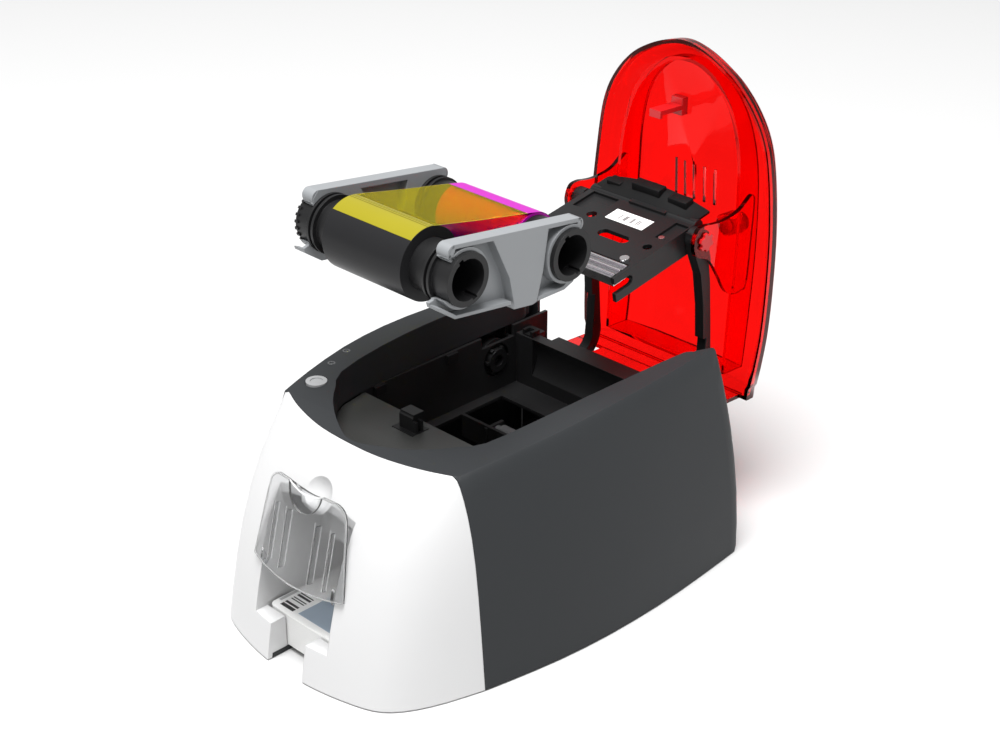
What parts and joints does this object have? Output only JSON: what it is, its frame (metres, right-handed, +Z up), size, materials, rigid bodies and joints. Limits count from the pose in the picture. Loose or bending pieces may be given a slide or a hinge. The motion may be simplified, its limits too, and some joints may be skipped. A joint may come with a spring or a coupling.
{
  "type": "id card printer",
  "caption": "Desktop card printer with a hinged clear lid carrying the print head, a lift-out ribbon cassette and a front card hopper.",
  "frame": {"origin": "centre of the underside, on the surface it stands on", "axes": "+Z up, +Y to the rear, +X to the right of someone facing the front"},
  "size_m": [0.1902, 0.3137, 0.265],
  "materials": {
    "grey_plastic": "fine texture",
    "tray_plastic": "fine texture",
    "white_plastic": "satin",
    "black_plastic": "satin",
    "bay_plastic": "satin",
    "red_clear": "clear tinted",
    "red_plastic": "satin",
    "smoke_clear": "clear tinted",
    "button_plastic": "satin",
    "handle_plastic": "satin",
    "lens_plastic": "clear",
    "card_plastic": "gloss",
    "foot_rubber": "matt",
    "roller_rubber": "matt",
    "guide_rubber": "matt",
    "steel": "bright",
    "frame_steel": "bright",
    "gear_plastic": "natural",
    "brass": "bright",
    "motor_case": "satin",
    "board": "coated",
    "socket_metal": "bright",
    "head_alloy": "bright",
    "label": "printed label",
    "ribbon_dark": "wound film",
    "ribbon_magenta": "wound film",
    "film": "thin film"
  },
  "bodies": {
    "printer": {"base_tray": "tray_plastic", "rubber_feet": "foot_rubber", "tray_screws": "steel", "side_housing": "grey_plastic", "front_cover": "white_plastic", "rear_panel": "grey_plastic", "bay_chassis": "bay_plastic", "latch_catch": "black_plastic", "bay_clips": "black_plastic", "indicator_lenses": "lens_plastic", "hopper_pins": "steel", "card_well": "white_plastic", "card_stack": "card_plastic", "top_card": "card_plastic", "roller_frame": "frame_steel", "feed_motor": "motor_case", "circuit_board": "board", "power_socket": "black_plastic", "data_socket": "socket_metal", "hinge_pins": "steel"},
    "lid": {"lid_shell": "red_clear", "lid_hook": "red_plastic", "lid_arms": "black_plastic", "head_pivots": "red_plastic"},
    "head": {"head_frame": "black_plastic", "thermal_bar": "head_alloy", "head_rods": "steel", "head_label": "label", "head_springs": "red_plastic", "head_screws": "steel"},
    "button": {"power_button": "button_plastic"},
    "hopper": {"hopper_cover": "smoke_clear"},
    "cassette": {"cassette_handle_right": "handle_plastic", "cassette_handle_left": "handle_plastic", "ribbon_film": "film"},
    "supply": {"supply_spool": "black_plastic", "supply_roll": "ribbon_dark"},
    "takeup": {"takeup_spool": "black_plastic", "takeup_roll": "ribbon_magenta"},
    "feeder": {"feed_roller": "roller_rubber", "feed_gear": "gear_plastic"},
    "platen": {"platen_roller": "roller_rubber", "platen_gear": "gear_plastic"},
    "pinion": {"motor_pinion": "brass"},
    "guide": {"guide_roller": "guide_rubber"},
    "coupler": {"drive_coupler": "black_plastic"}
  },
  "joints": [
    {"name": "cover_hinge", "type": "hinge", "parent": "printer", "child": "lid", "pos_m": [0, 0.1164, 0.0746], "axis": [1, 0, 0], "range_deg": [0, 93]},
    {"name": "head_float", "type": "hinge", "parent": "lid", "child": "head", "pos_m": [0, 0.13438, 0.17119], "axis": [1, 0, 0], "range_deg": [-3, 3], "stiffness_Nm_per_rad": 2},
    {"name": "button_press", "type": "slide", "parent": "printer", "child": "button", "axis": [0, 0, -1], "range_m": [0, 0.0012], "stiffness_N_per_m": 300},
    {"name": "hopper_hinge", "type": "hinge", "parent": "printer", "child": "hopper", "pos_m": [0, -0.11394, 0.0488], "axis": [1, 0, 0], "range_deg": [0, 50]},
    {"name": "cassette_lift", "type": "slide", "parent": "printer", "child": "cassette", "axis": [0, -0.4478, 0.8942], "range_m": [-0.132, 0.145]},
    {"name": "supply_spin", "type": "hinge", "parent": "cassette", "child": "supply", "pos_m": [0, -0.04841, 0.20925], "axis": [1, 0, 0], "continuous": true},
    {"name": "takeup_spin", "type": "hinge", "parent": "cassette", "child": "takeup", "pos_m": [0, 0.02258, 0.1999], "axis": [1, 0, 0], "continuous": true},
    {"name": "platen_spin", "type": "hinge", "parent": "printer", "child": "platen", "pos_m": [0, 0.027, 0.016], "axis": [1, 0, 0], "continuous": true},
    {"name": "feed_spin", "type": "hinge", "parent": "printer", "child": "feeder", "pos_m": [0, -0.008, 0.016], "axis": [1, 0, 0], "continuous": true},
    {"name": "pinion_spin", "type": "hinge", "parent": "printer", "child": "pinion", "pos_m": [0, 0.0095, 0.016], "axis": [1, 0, 0], "continuous": true},
    {"name": "guide_spin", "type": "hinge", "parent": "printer", "child": "guide", "pos_m": [0, 0.0545, 0.057], "axis": [1, 0, 0], "continuous": true},
    {"name": "coupler_spin", "type": "hinge", "parent": "printer", "child": "coupler", "pos_m": [0, 0.0817, 0.0818], "axis": [1, 0, 0], "continuous": true}
  ],
  "couplings": [
    {"joint": "cassette_lift", "follows": "cover_hinge", "m_per_rad": 0.086252},
    {"joint": "takeup_spin", "follows": "supply_spin", "ratio": 1.2877},
    {"joint": "feed_spin", "follows": "platen_spin", "ratio": 1},
    {"joint": "pinion_spin", "follows": "platen_spin", "ratio": -2.1818}
  ]
}
